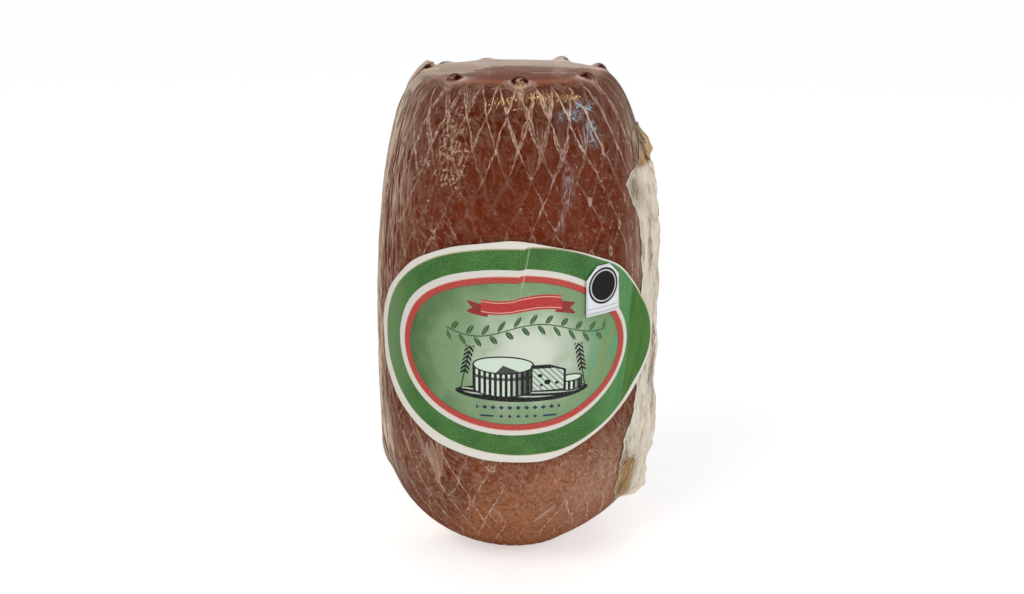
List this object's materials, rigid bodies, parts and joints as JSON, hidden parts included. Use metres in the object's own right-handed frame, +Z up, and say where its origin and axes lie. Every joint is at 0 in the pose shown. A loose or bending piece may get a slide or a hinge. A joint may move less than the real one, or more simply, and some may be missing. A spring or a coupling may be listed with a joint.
{
  "type": "smoked provolone cheese",
  "caption": "Upright barrel-shaped smoked cheese with a net pattern, tight in clear shrink film with two side seams, an oval paper label and a small sticker.",
  "frame": {"origin": "middle of the small flat foot under the cheese, on the surface it stands on", "axes": "+Z up along the cheese, -Y towards the label, +X towards the right-hand film seam as the label is faced"},
  "size_m": [0.0709, 0.0695, 0.1195],
  "materials": {
    "smoked_cheese": "smoked rind under glossy film",
    "clear_film": "crumpled, milky and glossy",
    "printed_paper": "satin, printed",
    "sticker_paper": "satin, printed"
  },
  "bodies": {
    "root": {"wrapped_cheese": "smoked_cheese", "seam_right": "clear_film", "seam_left": "clear_film", "label": "printed_paper", "sticker": "sticker_paper"}
  },
  "joints": []
}
